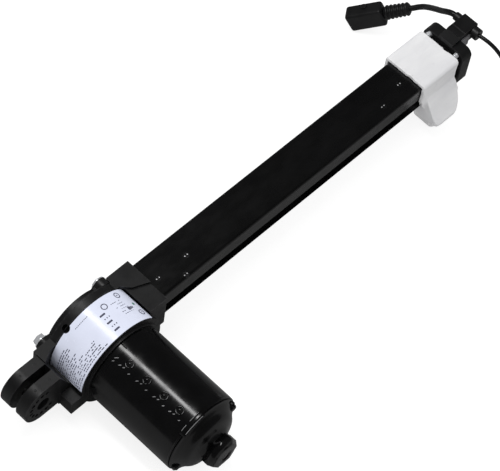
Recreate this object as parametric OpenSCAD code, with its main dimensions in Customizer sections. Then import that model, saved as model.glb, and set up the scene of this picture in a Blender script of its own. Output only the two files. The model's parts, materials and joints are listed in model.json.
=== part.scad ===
// Linear actuator for reclining furniture: a worm gearbox with a rear clevis, a motor lying across
// it, a C-section guide rail with a threaded spindle inside, and a sliding carriage with a front lug.
// Origin at the centre of the rear clevis bore, +X along the rail, +Z up, the motor towards -Y.

/* [Rear clevis] */
// Diameter of the rear pin bore
bore_d = 10.2; // [8:0.1:11]
// Radius of the round ends of the ears
ear_r = 15.8; // [14:0.1:16]
// Thickness of each ear
ear_t = 8.6; // [7:0.1:9]
// Gap between the two ears
ear_gap = 5.8; // [5:0.1:7]

/* [Gearbox] */
// Distance from the clevis bore to the motor axis
motor_x = 59.4; // [58:0.1:61]
// Radius of the round gearbox drum
drum_r = 35.2; // [34:0.1:35.6]
// Half width of the socket that holds the rail
socket_half = 18.5; // [18:0.1:19]
// Where the rail leaves the socket
socket_x = 102.3; // [100:0.1:104]
// Height of the surface that the actuator lies on
base_z = -30; // [-30:1:-30]

/* [Motor] */
// Radius of the motor can
can_r = 30; // [30:0.5:30]
// Far end of the straight part of the can
can_end_y = -95.5; // [-98:0.5:-94]
// Thickness of the can's wall
can_wall = 1.8; // [1.2:0.1:2.5]

/* [Rail] */
// Width of the rail
rail_w = 31.4; // [31:0.1:32]
// Height of the rail
rail_h = 26.2; // [26:0.1:27]
// Height of the rail's centre above the clevis bore
rail_z = 11.5; // [11:0.1:12]
// Wall thickness of the rail
rail_wall = 2; // [1.6:0.1:2.2]
// Height of the slot in the rail's side
slot_h = 10.7; // [9:0.1:11]

/* [Drive] */
// Major radius of the spindle
spindle_r = 5; // [4:0.1:5]
// Number of teeth on the worm wheel
wheel_teeth = 21; // [21:1:21]
// Pitch of the wheel's teeth in module
gear_module = 1; // [1:0.1:1]

/* [Carriage] */
// Length of the carriage along the rail
carriage_l = 37; // [34:1:37]
// Front end of the carriage at full stroke
carriage_end_x = 392; // [388:0.5:392]
// Gap between the carriage and the rail
slide_gap = 0.45; // [0.35:0.05:0.6]
// Thickness of the carriage's walls
hood_t = 2.7; // [2:0.1:3]

/* [Cables] */
// Diameter of the short cable with the plug
plug_cable_d = 4.4; // [4:0.1:5]
// Diameter of the long lead
lead_d = 3; // [2.8:0.1:3.2]

/* [Hidden] */
$fn = 64;
eps = 0.01;
seam_y = 14;                              // joint between gear housing and cover
drum_y0 = -22.3;                          // motor side of the gear housing
rear_x = 14.6;                            // seam between clevis and housing
rail_x0 = 88;                             // rear end of the rail, inside the socket
rail_x1 = 397.5;
rail_top = rail_z + rail_h / 2;
rail_bottom = rail_z - rail_h / 2;
slot_z0 = rail_bottom + rail_wall;
rail_corner_r = 2.4;
cap_x0 = 395.6;
cap_x1 = 405.4;
spindle_z = 15;                           // height of the spindle's axis
label_y1 = 7.3;                           // upper edge of the label
label_w = 29.1;
label_a0 = 42;                            // the label's two ends, as angles round the motor axis
label_a1 = 180.5;
rivet_angles = [25, 205];                 // rivets of the end bell, round the motor axis
wheel_pitch_r = gear_module * wheel_teeth / 2;
wheel_root_r = wheel_pitch_r - 1.3 * gear_module;
wheel_tip_r = wheel_pitch_r + 0.65 * gear_module;
worm_pitch_r = spindle_z - wheel_pitch_r;
worm_root_r = worm_pitch_r - 1.1 * gear_module;
worm_tip_r = worm_pitch_r + 0.6 * gear_module;
worm_lead = PI * gear_module;
carriage_x0 = carriage_end_x - carriage_l;
flap_x0 = carriage_x0 + 6;                // rear edge of the carriage's flap
lug_x = 379;                              // axis of the front lug bore
lug_z = -14.5;
lug_y0 = -24;
lug_y1 = -9;
lug_r = 15.5;
// cover bolts: angle round the motor axis, distance from it, height of the head
bolt_places = [[170, 31.5, 3.2], [54, 30.5, 0.8], [-35, 26, 3.2], [245, 24.5, 3.2]];
bolt_y0 = 9.5;                            // inner end of the cover bolts
// screws in the rail's web: x, y
web_screws = [[109.2, -3.1], [125, -13.2], [135.5, -2.8], [323.8, -7.8], [346.4, -2.4]];
plug_centre = [401.2, 71.2, -15.5];
plug_turn = 125.4;                        // heading of the plug, from +X towards +Y
plug_pitch = 30.7;                        // its nose points down and rests on the surface
plug_l = 28.6;
plug_w = 12;
plug_h = 16.6;
relief_end = 34.2;                        // from the plug's centre to the end of its strain relief
coil_centre = [437, -82];
coil_r0 = 12;                             // inside of the coil of lead
coil_r1 = 21;
coil_h = 9;
// the plug cable, from its collar to the plug's strain relief
plug_route = [[420, 10.4, 28], [419.9, 13.4, 27.5], [419.8, 16.2, 26.2], [419.9, 18.8, 24.4], [420.3, 21.4, 22.2],
    [420.9, 24.2, 19.8], [421.7, 27.2, 17.3], [422.5, 30.2, 14.7], [423.1, 33.2, 12.2], [423.4, 36.2, 9.8],
    [423.3, 38.9, 7.8], [422.5, 41.2, 6.2], [421.2, 43.3, 4.8], [419.8, 45.2, 3.4], [418.2, 47.2, 2]];
// the long lead, from its collar down to the coil
lead_route = [[419, -12.4, 28], [419.9, -18, 27.7], [420.8, -24, 26.4], [421.6, -30, 23.6], [422.4, -35.4, 18.8],
    [423, -39.6, 12.4], [423.6, -42.8, 5], [424.4, -45.4, -2.8], [425.4, -47.8, -10.6], [426.8, -50.4, -17.8],
    [428.9, -53.6, -24], [432, -57.6, -27.4], [436.2, -60.8, -28.5], [441, -62.4, -28.5]];
// from the coil to the connector
tail_route = [[455.6, -76, -22.5], [458.8, -82.4, -23.2], [459.6, -89, -25], [457.8, -95.4, -26.6],
    [453.4, -100.4, -27], [447.4, -104, -27]];
// the harness inside the rail, from the gearbox to the cable junction
harness_route = [[77, 12, 20.8], [140, 12, 20.8], [205, 12, 20.8], [270, 12, 20.8], [335, 12, 20.8],
    [388, 12, 20.8], [395, 11.6, 21], [398.6, 9.4, 21.2], [400.2, 5.6, 21.2], [402, 1.8, 21.2],
    [405.4, 0, 21.2], [408, 0, 21.2]];

// ---- shared shapes ----
module x_cyl(r, x0, x1, y = 0, z = 0) { translate([x0, y, z]) rotate([0, 90, 0]) cylinder(r = r, h = x1 - x0); }
module y_cyl(r, y0, y1, x = 0, z = 0) { translate([x, y1, z]) rotate([90, 0, 0]) cylinder(r = r, h = y1 - y0); }
module z_cyl(r, z0, z1, x = 0, y = 0) { translate([x, y, z0]) cylinder(r = r, h = z1 - z0); }
module block(lo, hi) { translate(lo) cube(hi - lo); }

// Rectangle about the origin with round corners
module round_rect(w, h, r) {
    square([w - 2 * r, h], center = true);
    square([w, h - 2 * r], center = true);
    for (sx = [-1, 1], sy = [-1, 1]) translate([sx * (w / 2 - r), sy * (h / 2 - r)]) circle(r);
}

// Extrudes a section drawn in Y (across) and Z (up) from x0 to x1
module along_x(x0, x1) { translate([x0, 0, 0]) rotate([90, 0, 90]) linear_extrude(x1 - x0) children(); }

// Extrudes a section drawn in X and Z from y0 to y1
module along_y(y0, y1) { translate([0, y1, 0]) rotate([90, 0, 0]) linear_extrude(y1 - y0) children(); }

// Ring about an axis parallel to X
module x_ring(r_in, r_out, x0, x1, y = 0, z = 0) {
    difference() {
        x_cyl(r_out, x0, x1, y, z);
        x_cyl(r_in, x0 - 1, x1 + 1, y, z);
    }
}

// Ring about an axis parallel to Y
module y_ring(r_in, r_out, y0, y1, x = 0, z = 0) {
    difference() {
        y_cyl(r_out, y0, y1, x, z);
        y_cyl(r_in, y0 - 1, y1 + 1, x, z);
    }
}

// Deep-groove ball bearing about +Z, standing on z = 0
module ball_bearing(r_in, r_out, w, balls = 8) {
    r_mid = (r_in + r_out) / 2;
    ball = (r_out - r_in) / 4;
    for (r = [[r_in, r_mid - ball * 0.7], [r_mid + ball * 0.7, r_out]])
        difference() {
            cylinder(r = r[1], h = w);
            translate([0, 0, -1]) cylinder(r = r[0], h = w + 2);
            translate([0, 0, w / 2]) rotate_extrude() translate([r_mid, 0]) circle(ball * 1.03);
        }
    for (i = [0 : balls - 1]) rotate(i * 360 / balls) translate([r_mid, 0, w / 2]) sphere(ball * 0.97, $fn = 24);
}

// Round tube swept along a list of points
function unit(v) = v / norm(v);
function tangent(p, i) = unit(p[min(i + 1, len(p) - 1)] - p[max(i - 1, 0)]);
function side_of(t) = unit(cross(t, abs(t[2]) > 0.9 ? [0, 1, 0] : [0, 0, 1]));
module tube(p, d, sides = 8) {
    points = [for (i = [0 : len(p) - 1]) let (t = tangent(p, i), s = side_of(t), u = cross(s, t))
        for (k = [0 : sides - 1]) p[i] + d / 2 * (s * cos(k * 360 / sides) + u * sin(k * 360 / sides))];
    last = (len(p) - 1) * sides;
    walls = [for (i = [0 : len(p) - 2], k = [0 : sides - 1])
        [i * sides + k, i * sides + (k + 1) % sides, (i + 1) * sides + (k + 1) % sides, (i + 1) * sides + k]];
    polyhedron(points, concat([[for (k = [sides - 1 : -1 : 0]) k]], walls, [[for (k = [0 : sides - 1]) last + k]]),
        convexity = 8);
}

// ---- gearbox ----
// Foot of the clevis, and the recess for it in the housing
module clevis_foot(start) { block([rear_x - start, -8, -11], [rear_x + 4.4, 8, 5]); }

// Two round-ended ears with hexagonal relief pockets and a foot that plugs into the housing
module rear_clevis() {
    half = ear_gap / 2 + ear_t;
    color("#1c1c1d") difference() {
        union() {
            for (s = [-1, 1]) translate([0, s * (ear_gap + ear_t) / 2, 0]) intersection() {
                union() {
                    y_cyl(ear_r, -ear_t / 2, ear_t / 2);
                    block([0, -ear_t / 2, -ear_r], [rear_x, ear_t / 2, ear_r]);
                }
                block([-ear_r, -ear_t, -ear_r], [rear_x, ear_t, ear_r]);
            }
            block([rear_x - 5, -half, -ear_r], [rear_x, half, 2]);
            clevis_foot(eps);
        }
        y_cyl(bore_d / 2, -half - 1, half + 1);
        for (s = [-1, 1], i = [2 : 12])
            rotate([0, i * 24, 0]) translate([10.4, s * half, 0]) rotate([90, 0, 0])
                cylinder(r = 1.7, h = 3, center = true, $fn = 6);
    }
}

// Blind hole for a radial screw, at the label's upper edge
module radial_screw_hole(r) {
    translate([motor_x, 8.5, 0]) rotate([0, -129, 0]) x_cyl(r, drum_r - 5, drum_r + 5);
}

// Drum round the worm, rear block, rail socket, motor flange corner and flat base
module gear_housing() {
    color("#222223") difference() {
        union() {
            y_cyl(drum_r, drum_y0, seam_y, motor_x);
            // shoulder beside the label, and the slope below the label's end
            translate([0, 0, -18.5]) linear_extrude(36)
                polygon([[rear_x, 2.9], [24, label_y1 + 0.5], [motor_x, label_y1 + 0.5], [motor_x, seam_y],
                    [rear_x, seam_y]]);
            along_y(-11.5, seam_y) polygon([[rear_x, 15.2], [23, -0.8], [30, -0.8], [30, -18.5], [rear_x, -18.5]]);
            block([rear_x + 0.9, drum_y0, -18.5], [motor_x, -11, -6]);
            // rail socket, clear of the label's end
            block([motor_x, label_y1 + 0.5, -4.5], [socket_x, socket_half, rail_top + 0.8]);
            block([87, -socket_half, -4.5], [socket_x, label_y1 + 1, rail_top + 0.8]);
            translate([0, 0, rail_top]) linear_extrude(3)
                polygon([[socket_x, socket_half], [socket_x, -3], [90, 2], [85, 7.8], [70, 7.8], [70, socket_half]]);
            block([42, drum_y0, base_z], [88.8, seam_y, -10]);
            y_cyl(31.6, drum_y0 - 1.7, drum_y0 + 1, motor_x);
        }
        block([0, -60, base_z - 20], [120, 60, base_z]);
        // rail pocket, bearing seats, wheel chamber, worm tunnel
        block([rail_x0, -rail_w / 2, rail_bottom], [socket_x + 1, rail_w / 2, rail_top]);
        x_cyl(6, 40, rail_x0 + 1, 0, spindle_z);
        x_cyl(11, 43.5, 76, 0, spindle_z);
        x_cyl(12.4, 51, 68, 0, spindle_z);
        y_cyl(7, drum_y0 - 5, 13, motor_x);
        y_cyl(13, drum_y0 - 5, drum_y0 + 6, motor_x);
        clevis_foot(1);
        // seats of the cover, its spigot and its gasket
        translate([motor_x, 0, 0]) along_y(seam_y, socket_half + 1) cover_outline(0.3);
        y_cyl(20, 12, seam_y + 1, motor_x);
        y_cyl(22.2, 13.2, seam_y + 1, motor_x);
        for (b = bolt_places) y_cyl(2.2, bolt_y0 - 0.3, seam_y + 1, motor_x + b[1] * cos(b[0]), b[1] * sin(b[0]));
        // recess of a radial screw beside the label, and the harness hole
        radial_screw_hole(2.7);
        x_cyl(1.4, 74, rail_x0 + 1, 12, 20.8);
    }
}

// Disc with a round lobe for each bolt, wider all round by grow
module cover_outline(grow = 0) {
    lobe_r = 5.5 + grow;
    circle(27.2 + grow);
    for (b = bolt_places) rotate(b[0]) {
        translate([b[1], 0]) circle(lobe_r);
        translate([0, -lobe_r]) square([b[1], 2 * lobe_r]);
    }
}

module housing_cover() {
    color("#1b1b1c") difference() {
        union() {
            translate([motor_x, 0, 0]) along_y(seam_y, 20) cover_outline();
            y_cyl(19.9, 12.2, seam_y + eps, motor_x);
        }
        y_cyl(4.05, 11, 16, motor_x);
        for (b = bolt_places) y_cyl(2.2, 10, 21, motor_x + b[1] * cos(b[0]), b[1] * sin(b[0]));
        y_ring(8, 17, 18.6, 21, motor_x);
    }
}

module cover_gasket() { color("#2c2c2e") y_ring(20.1, 22.1, 13.3, seam_y, motor_x); }

module cover_bolts() {
    color("silver") for (b = bolt_places) translate([motor_x + b[1] * cos(b[0]), 0, b[1] * sin(b[0])]) {
        y_cyl(2, bolt_y0, 20 + eps);
        y_cyl(5.2, 20, 20.9);
        translate([0, 20.9 + b[2], 0]) rotate([90, 15, 0]) cylinder(r = 4.4, h = b[2] + eps, $fn = 6);
    }
}

// Paper-thin band that wraps the drum from the socket to the clevis side
module rating_label() {
    color("#d9def0") difference() {
        translate([motor_x, label_y1, 0]) rotate([90, 0, 0]) rotate([0, 0, label_a0])
            rotate_extrude(angle = label_a1 - label_a0) translate([drum_r, 0]) square([0.3, label_w]);
        radial_screw_hole(3.3);
    }
}

// ---- motor ----
module motor_can() {
    color("#0e0e0f") difference() {
        y_cyl(can_r, can_end_y, drum_y0 - 1.7, motor_x);
        y_cyl(can_r - can_wall, can_end_y - 1, drum_y0 - 3.9, motor_x);
        y_cyl(13, drum_y0 - 5, drum_y0, motor_x);
    }
}

// Domed end with the boss of the rear bearing
module motor_end_bell() {
    color("#141415") translate([motor_x, 0, 0]) rotate([90, 0, 0]) difference() {
        rotate_extrude() polygon([[0, 92], [28, 92], [28, 95.5], [29.2, 95.5], [29.2, 96.6], [26, 98.4],
            [23.4, 100.4], [21.4, 102.6], [19.2, 104.2], [14, 106.4], [11.2, 108.6], [10, 111.6], [10, 116],
            [8.4, 117.6], [0, 117.6]]);
        translate([0, 0, 91]) cylinder(r = 6, h = 11);
        translate([0, 0, 91]) cylinder(r = 24, h = 4.5);
        for (a = rivet_angles) rotate(a) translate([27, 0, 96]) cylinder(r = 2.2, h = 4);
    }
}

module end_bell_rivets() {
    color("#0b0b0b") for (a = rivet_angles) translate([motor_x, 0, 0]) rotate([0, -a, 0])
        y_cyl(2.2, -98.6, -96, 27);
}

module field_magnets() {
    color("#3a3a3d") for (a = [20, 200]) translate([motor_x, -41, 0]) rotate([90, 0, 0]) rotate([0, 0, a])
        rotate_extrude(angle = 140) translate([22.6, 0]) square([5.5, 38]);
}

module brush_plate() { color("#5b3a1e") y_ring(13, 28, -90.5, -88, motor_x); }

module carbon_brushes() {
    color("#2d2d30") for (s = [-1, 1]) translate([motor_x + s * 11.2, -85, 0])
        cube([6, 6, 4.4], center = true);
}

module motor_front_bearing() {
    color("silver") translate([motor_x, drum_y0 - 0.2, 0]) rotate([90, 0, 0]) ball_bearing(4.05, 13, 6);
}

module motor_rear_bearing() {
    color("silver") translate([motor_x, -95.6, 0]) rotate([90, 0, 0]) ball_bearing(2.55, 6, 5, 7);
}

module motor_shaft() {
    color("#b9bbbe") difference() {
        union() {
            y_cyl(4, drum_y0 - 16, 15.6, motor_x);
            y_cyl(3.4, -92, drum_y0 - 16 + eps, motor_x);
            y_cyl(2.5, -101, -92 + eps, motor_x);
        }
        y_ring(worm_root_r - 0.4, 6, -8, 8, motor_x);
    }
}

// Single right-hand thread on a sleeve; the point at angle 0 is straight above the axis
function worm_point(turn, r, dy) = [r * sin(turn * 360), dy + worm_lead * turn, r * cos(turn * 360)];
module worm() {
    steps = 16;
    turns = 3;
    rings = steps * turns;
    // thread section: root and tip radius with half the width
    section = [[worm_root_r - 0.2, -0.75], [worm_tip_r, -0.35], [worm_tip_r, 0.35], [worm_root_r - 0.2, 0.75]];
    points = [for (i = [0 : rings], s = section) worm_point(i / steps - turns / 2, s[0], s[1])];
    walls = [for (i = [0 : rings - 1], k = [0 : 3])
        [4 * i + k, 4 * i + (k + 1) % 4, 4 * i + 4 + (k + 1) % 4, 4 * i + 4 + k]];
    color("#c9a24a") translate([motor_x, 0, 0]) {
        difference() {
            y_cyl(worm_root_r, -8, 8);
            y_cyl(worm_root_r - 0.4, -9, 9);
        }
        polyhedron(points, concat([[0, 3, 2, 1]], walls,
            [[4 * rings, 4 * rings + 1, 4 * rings + 2, 4 * rings + 3]]), convexity = 8);
    }
}

module armature_core() {
    color("#77797d") difference() {
        y_cyl(21.8, -76, -44, motor_x);
        y_cyl(3.45, -77, -43, motor_x);
        for (i = [0 : 11]) translate([motor_x, 0, 0]) rotate([0, i * 30, 0]) {
            block([19.5, -77, -0.9], [23, -43, 0.9]);
            y_cyl(2.4, -77, -43, 17);
        }
    }
}

module armature_winding() {
    color("#a45a2a") {
        y_ring(7.5, 18.6, -81, -76, motor_x);
        y_ring(7.5, 18.6, -44, -39.5, motor_x);
        for (i = [0 : 11]) translate([motor_x, 0, 0]) rotate([0, i * 30, 0]) y_cyl(2.2, -76 - eps, -44 + eps, 17);
    }
}

module commutator() {
    color("#b87333") difference() {
        y_cyl(7.9, -89.5, -81.2, motor_x);
        y_cyl(3.45, -91, -80, motor_x);
        for (i = [0 : 11]) translate([motor_x, 0, 0]) rotate([0, i * 30, 0])
            block([6.6, -91, -0.25], [9, -83, 0.25]);
    }
}

// ---- spindle ----
module worm_wheel() {
    color("#e6dfc8") translate([0, 0, spindle_z]) difference() {
        union() {
            along_x(motor_x - 4.5, motor_x + 4.5) {
                circle(wheel_root_r);
                for (i = [0 : wheel_teeth - 1]) rotate(-90 + (i + 0.5) * 360 / wheel_teeth)
                    polygon([[wheel_root_r - 1, -0.8], [wheel_tip_r, -0.35], [wheel_tip_r, 0.35],
                        [wheel_root_r - 1, 0.8]]);
            }
            x_cyl(6.6, 51.2, 67.8);
        }
        x_cyl(5.02, 50, 69);
    }
}

module spindle() {
    color("#a9acb0") {
        x_cyl(3.95, 42, 51.2 + eps, 0, spindle_z);
        x_cyl(5, 51.2, 68.4, 0, spindle_z);
        x_cyl(3.95, 68.4 - eps, 77 + eps, 0, spindle_z);
        x_cyl(spindle_r, 77, 388, 0, spindle_z);
        x_cyl(3.5, 388 - eps, 402, 0, spindle_z);
    }
}

module spindle_rear_bearing() {
    color("silver") translate([43.6, 0, spindle_z]) rotate([0, 90, 0]) ball_bearing(4, 11, 7);
}

module spindle_front_bearing() {
    color("silver") translate([68.8, 0, spindle_z]) rotate([0, 90, 0]) ball_bearing(4, 11, 7);
}

module spindle_end_bush() { color("#c9a24a") x_ring(3.56, 4.4, 397.6, 403, 0, spindle_z); }

// ---- rail ----
module rail() {
    color("#101011") difference() {
        along_x(rail_x0, rail_x1) translate([0, rail_z]) difference() {
            round_rect(rail_w, rail_h, rail_corner_r);
            round_rect(rail_w - 2 * rail_wall, rail_h - 2 * rail_wall, 0.6);
            translate([-rail_w / 2 - 1, -rail_h / 2 + rail_wall]) square([6, slot_h]);
        }
        for (s = web_screws) z_cyl(2.1, rail_top - 4, rail_top + 1, s[0], s[1]);
        for (s = [-1, 1]) z_cyl(1.1, rail_top - 4, rail_top + 1, 393.9, s * 13.2);
    }
}

module rail_screws() {
    color("#3c3c3e") for (s = web_screws) translate([s[0], s[1], 0]) difference() {
        z_cyl(2, rail_top - rail_wall, rail_top - 0.35);
        for (a = [0, 90]) translate([0, 0, rail_top]) rotate(a) cube([2.6, 0.6, 2], center = true);
    }
}

// Rounded plate over the rail's end with a lip round it
module end_cap() {
    color("#19191a") difference() {
        along_x(cap_x0, cap_x1) translate([-0.6, 11.3]) round_rect(37.4, 34.4, 6);
        along_x(cap_x0 - 1, rail_x1) translate([0, rail_z]) round_rect(rail_w + 0.2, rail_h + 0.2, rail_corner_r);
        along_x(rail_x1 - eps, 401.4) translate([0, rail_z]) round_rect(rail_w - 5, rail_h - 3.6, 1);
        x_cyl(4.45, 400, 403.2, 0, spindle_z);
        x_cyl(1.5, 400, cap_x1 + 1, 0, 21.2);
    }
}

module end_cap_screws() {
    color("silver") for (s = [-1, 1]) translate([393.9, s * 13.2, 0]) difference() {
        union() {
            z_cyl(1.6, rail_top, rail_top + 1.5);
            z_cyl(1, rail_top - 2.2, rail_top + eps);
        }
        translate([0, 0, rail_top + 1.6]) cube([2.4, 0.6, 1], center = true);
    }
}

module limit_switch(x0) {
    block([x0, 9.2, 4], [x0 + 12.8, 13.6, 10.5]);
    block([x0 + 4, 10.4, 10.5 - eps], [x0 + 5.6, 12.4, 11.6]);
    for (i = [0 : 2]) block([x0 + 1.4 + i * 4.6, 10.8, 1.6], [x0 + 2.6 + i * 4.6, 11.3, 4 + eps]);
}

module rear_limit_switch() { color("#1f2a3c") limit_switch(112); }
module front_limit_switch() { color("#1f2a3c") limit_switch(372); }
module rail_harness() { color("#161616") tube(harness_route, 2.4); }

// ---- carriage ----
// Hood over the rail, an arm through the side slot and a lug below with the front bore
module carriage() {
    in_y = rail_w / 2 + slide_gap;
    in_top = rail_top + slide_gap;
    out_y = in_y + hood_t;
    top = in_top + hood_t;
    color("#e9e9ea") difference() {
        union() {
            // hood and skirts
            along_x(carriage_x0, carriage_end_x) difference() {
                union() {
                    translate([-out_y, rail_bottom - 3]) square([2 * out_y, top - rail_bottom]);
                    translate([-out_y + 3, 4]) square([2 * out_y - 6, top - 4]);
                    for (s = [-1, 1]) translate([s * (out_y - 3), top - 3]) circle(3);
                }
                translate([-in_y, rail_bottom - 4]) square([2 * in_y, in_top - rail_bottom + 4]);
            }
            // flared flap on the open side of the rail
            intersection() {
                along_x(flap_x0, carriage_end_x) polygon([[-in_y, 10], [-out_y, 10], [-27, -3],
                    [-32.4, -9.4], [-32.4, -12], [-9, -12], [-9, rail_bottom - slide_gap],
                    [-in_y, rail_bottom - slide_gap]]);
                translate([0, 0, -40]) linear_extrude(80) union() {
                    translate([flap_x0 + 4, -40]) square([12, 45]);
                    translate([flap_x0, -28.4]) square([16, 33]);
                    translate([flap_x0 + 4, -28.4]) circle(4);
                    translate([flap_x0, -24]) square([carriage_end_x - flap_x0, 28]);
                    translate([carriage_end_x - 13.4, -19.6]) circle(13);
                }
            }
            // round ear of the front mount
            y_cyl(lug_r, lug_y0, lug_y1, lug_x, lug_z);
            // arm through the slot
            block([362, -in_y - 0.5, slot_z0 + 0.8], [386, -11.6, slot_z0 + slot_h - 0.8]);
        }
        along_x(carriage_x0 - 1, carriage_end_x + 1)
            translate([-rail_w / 2 - slide_gap, rail_bottom - slide_gap]) difference() {
                square([rail_w + 2 * slide_gap, rail_h + 2 * slide_gap]);
                translate([-1, rail_wall + slide_gap + 0.8]) square([6, slot_h - 1.6]);
            }
        y_cyl(6.5, lug_y0 - 1, lug_y1 + 1, lug_x, lug_z);
        z_cyl(1.55, slot_z0, slot_z0 + slot_h, 374, -13.4);
        // slanted rear edge of the skirt above the flap
        along_y(-out_y - 1, -in_y + 0.5) polygon([[carriage_x0 - 1, 9], [carriage_x0, 9], [flap_x0, -3],
            [flap_x0, -9], [carriage_x0 - 1, -9]]);
        // clear of the far skirt's lower edge
        block([carriage_x0 - 1, in_y - 1, -20], [carriage_end_x + 1, out_y + 2, 1]);
    }
}

// Nut on the spindle with a pocket for the carriage's arm
module drive_nut() {
    color("#f1efe6") difference() {
        block([358, -12.6, 3.4], [390, 8.6, 21.6]);
        x_cyl(spindle_r + 0.06, 350, 395, 0, spindle_z);
        block([361.9, -13, slot_z0 + 0.7], [386.1, -11.5, slot_z0 + slot_h - 0.7]);
    }
}

module nut_pin() { color("silver") z_cyl(1.5, slot_z0 + 0.9, slot_z0 + slot_h - 0.9, 374, -13.4); }
module front_lug_bush() { color("#b9bbbe") y_ring(bore_d / 2, 6.5, lug_y0, lug_y1, lug_x, lug_z); }

// ---- cables ----
// Small block on the end cap that the harness splits in
module cable_junction() {
    color("#1d1d1e") difference() {
        union() {
            block([cap_x1, -7.4, 19], [423.4, 5.1, 32.5]);
            block([404.2, -7.4, 28.5], [423.4, 5.1, 32.5]);
            along_y(-7.6, 5.2) polygon([[395.4, 28.5], [404.4, 28.5], [404.4, 31.6], [396.2, 30.4]]);
        }
        block([407.4, -5.4, 20.8], [421.4, 3.1, 30.6]);
        x_cyl(1.5, cap_x1 - 1, 408, 0, 21.2);
    }
}

module junction_clip() {
    color("#9a9c9f") {
        block([cap_x1, -8.6, 17.8], [414.6, -7.4, 28.6]);
        block([cap_x1, -7.4 - eps, 17.8], [414.6, 4, 19]);
    }
}

module plug_side_collar() { color("#161617") y_cyl(3.3, 5.1, 10.4, 420, 28); }
module lead_side_collar() { color("#161617") y_cyl(4.5, -13.2, -7.4, 419, 28); }
module plug_cable() { color("#18181a") tube(plug_route, plug_cable_d); }

// Places a shape built along +X at the plug: its centre at the origin, the cable end at -X
module at_plug() { translate(plug_centre) rotate([0, plug_pitch, plug_turn]) children(); }

module plug_relief() {
    color("#141415") at_plug() {
        x_cyl(4, -relief_end, -plug_l / 2);
        for (i = [0 : 5]) x_cyl(5 + 0.08 * i, -relief_end + 1 + i * 3.1, -relief_end + 2.6 + i * 3.1);
    }
}

module plug_body() {
    color("#171718") at_plug() difference() {
        union() {
            along_x(-plug_l / 2, plug_l / 2) round_rect(plug_w, plug_h, 2.4);
            along_x(-plug_l / 2 + 5, plug_l / 2 - 9) round_rect(plug_w + 0.8, 10, 1);
        }
        for (s = [-1, 1]) block([plug_l / 2 - 9, -2.6, s * 3.6 - 2.2], [plug_l / 2 + 1, 2.6, s * 3.6 + 2.2]);
    }
}

module plug_button() { color("#202021") at_plug() translate([-0.5, -2, plug_h / 2]) cylinder(r = 2.2, h = 1); }

module plug_contacts() {
    color("#c7a04a") at_plug() for (s = [-1, 1]) x_cyl(1.2, plug_l / 2 - 9, plug_l / 2 - 2, 0, s * 3.6);
}

module lead_cable() { color("#121213") tube(lead_route, lead_d); }

module lead_coil() {
    color("#121213") translate([coil_centre[0], coil_centre[1], base_z]) rotate_extrude()
        translate([coil_r0, 0]) square([coil_r1 - coil_r0, coil_h]);
}

// Strap round the bundle of turns
module lead_tie() {
    mid = (coil_r0 + coil_r1) / 2;
    color("#0c0c0c") translate([coil_centre[0], coil_centre[1], base_z]) rotate(200) translate([mid, 0, coil_h / 2])
        rotate([90, 0, 0]) linear_extrude(3, center = true) difference() {
            round_rect(coil_r1 - coil_r0 + 2.4, coil_h, 1);
            square([coil_r1 - coil_r0, coil_h - 1.2], center = true);
        }
}

module lead_tail() { color("#121213") tube(tail_route, lead_d); }

// Small two-pole connector in which the lead ends
module lead_connector() {
    end = tail_route[len(tail_route) - 1];
    color("#1a1a1b") translate([end[0], end[1], base_z]) rotate(212) difference() {
        union() {
            along_x(9, 27) translate([0, 3.2]) round_rect(10, 6.4, 1.2);
            x_cyl(2.4, 0, 9 + eps, 0, 3);
        }
        for (s = [-1, 1]) x_cyl(1.3, 19, 28, s * 2.4, 3.2);
    }
}

rear_clevis();
gear_housing();
housing_cover();
cover_gasket();
cover_bolts();
rating_label();
motor_can();
motor_end_bell();
end_bell_rivets();
field_magnets();
brush_plate();
carbon_brushes();
motor_front_bearing();
motor_rear_bearing();
motor_shaft();
worm();
armature_core();
armature_winding();
commutator();
worm_wheel();
spindle();
spindle_rear_bearing();
spindle_front_bearing();
spindle_end_bush();
rail();
rail_screws();
end_cap();
end_cap_screws();
rear_limit_switch();
front_limit_switch();
rail_harness();
carriage();
drive_nut();
nut_pin();
front_lug_bush();
cable_junction();
junction_clip();
plug_side_collar();
lead_side_collar();
plug_cable();
plug_relief();
plug_body();
plug_button();
plug_contacts();
lead_cable();
lead_coil();
lead_tie();
lead_tail();
lead_connector();
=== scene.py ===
import json
import math
import random

import bmesh
import bpy
from mathutils import Matrix, Vector, noise


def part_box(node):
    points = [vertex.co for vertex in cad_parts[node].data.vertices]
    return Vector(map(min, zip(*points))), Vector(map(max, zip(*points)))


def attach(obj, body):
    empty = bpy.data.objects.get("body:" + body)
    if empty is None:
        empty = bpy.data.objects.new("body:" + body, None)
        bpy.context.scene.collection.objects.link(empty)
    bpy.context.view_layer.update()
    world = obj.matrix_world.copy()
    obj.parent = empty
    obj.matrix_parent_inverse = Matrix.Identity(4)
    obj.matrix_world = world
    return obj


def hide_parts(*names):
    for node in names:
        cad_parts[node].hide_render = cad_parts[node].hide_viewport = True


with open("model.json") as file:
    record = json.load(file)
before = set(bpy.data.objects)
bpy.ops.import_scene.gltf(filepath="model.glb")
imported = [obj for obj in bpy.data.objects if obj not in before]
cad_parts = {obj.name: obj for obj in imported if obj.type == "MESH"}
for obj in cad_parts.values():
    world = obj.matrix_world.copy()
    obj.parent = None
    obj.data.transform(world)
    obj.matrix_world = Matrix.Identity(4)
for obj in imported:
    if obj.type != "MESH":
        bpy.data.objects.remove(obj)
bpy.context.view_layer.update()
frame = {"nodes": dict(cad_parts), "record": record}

# Linear actuator with a worm gearbox, a motor across it and a C-section rail. Positions are in
# millimetres in the CAD's frame, and mm() turns them into Blender's metres.
MM = 0.001
NODES = frame["nodes"]
SLOT_OF = {part["node"]: part["material_slot"] for part in frame["record"]["subparts"]}
BODY_OF = {node: body for body, nodes in frame["record"]["behaviour"]["bodies"].items() for node in nodes}

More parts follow.
